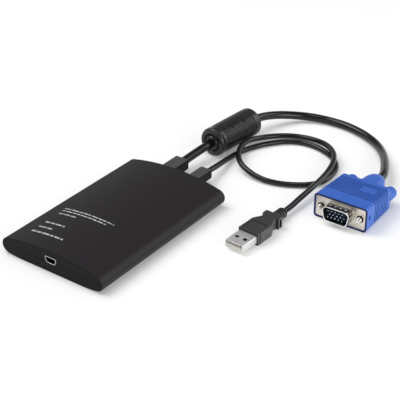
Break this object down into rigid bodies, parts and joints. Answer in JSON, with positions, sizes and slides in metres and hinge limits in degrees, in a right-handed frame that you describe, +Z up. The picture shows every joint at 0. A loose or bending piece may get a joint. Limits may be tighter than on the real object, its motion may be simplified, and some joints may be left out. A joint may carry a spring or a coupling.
{
  "type": "crash cart adapter",
  "caption": "Flat arched box with a mini-USB port, a VGA lead with ferrite and a USB lead, which lets a laptop act as the screen and keyboard of a server.",
  "frame": {"origin": "centre of the box's flat underside, on the table that everything lies on", "axes": "+X across the box, +Y from the mini-USB port end to the cable end, +Z up"},
  "size_m": [0.1512, 0.2394, 0.0185],
  "materials": {
    "case_plastic": "fine matt texture",
    "screw_steel": "bright zinc",
    "circuit_board": "solder mask",
    "chip_black": "moulded epoxy",
    "can_metal": "plain can",
    "connector_steel": "satin nickel plate",
    "port_steel": "satin nickel plate",
    "port_plastic": "matt black",
    "contact_gold": "gold flash",
    "pin_silver": "bright tin plate",
    "boot_rubber": "matt",
    "header_plastic": "natural nylon",
    "cord_jacket": "satin PVC",
    "sleeve_rubber": "satin PVC",
    "ferrite": "sintered",
    "hood_blue": "satin moulded",
    "flange_nickel": "satin nickel plate",
    "insulator_dark": "matt",
    "grip_rubber": "satin PVC",
    "insulator_light": "satin"
  },
  "bodies": {
    "adapter": {"top_shell": "case_plastic", "bottom_shell": "case_plastic", "case_screws": "screw_steel", "main_board": "circuit_board", "video_chip": "chip_black", "processor_chip": "chip_black", "memory_chip": "chip_black", "clock_crystal": "can_metal", "filter_capacitors": "can_metal", "usb_shell": "connector_steel", "console_port_shell": "port_steel", "console_port_tongue": "port_plastic", "console_port_contacts": "contact_gold", "usb_contacts": "contact_gold", "vga_pins": "pin_silver", "vga_boot": "boot_rubber", "usb_boot": "boot_rubber", "vga_header": "header_plastic", "usb_header": "header_plastic", "vga_cord": "cord_jacket", "usb_cord": "cord_jacket", "vga_inner_lead": "cord_jacket", "usb_inner_lead": "cord_jacket", "ferrite_sleeve": "sleeve_rubber", "ferrite_core": "ferrite", "vga_hood": "hood_blue", "vga_front_shell": "flange_nickel", "vga_insulator": "insulator_dark", "usb_grip": "grip_rubber", "usb_insulator": "insulator_light"},
    "left_thumbscrew": {"left_screw": "screw_steel", "left_knob": "hood_blue"},
    "right_thumbscrew": {"right_screw": "screw_steel", "right_knob": "hood_blue"}
  },
  "joints": [
    {"name": "left_thumbscrew_turn", "type": "hinge", "parent": "adapter", "child": "left_thumbscrew", "pos_m": [0.08631, 0.077, 0.0076], "axis": [0, 1, 0], "continuous": true},
    {"name": "right_thumbscrew_turn", "type": "hinge", "parent": "adapter", "child": "right_thumbscrew", "pos_m": [0.1113, 0.077, 0.0076], "axis": [0, 1, 0], "continuous": true}
  ]
}
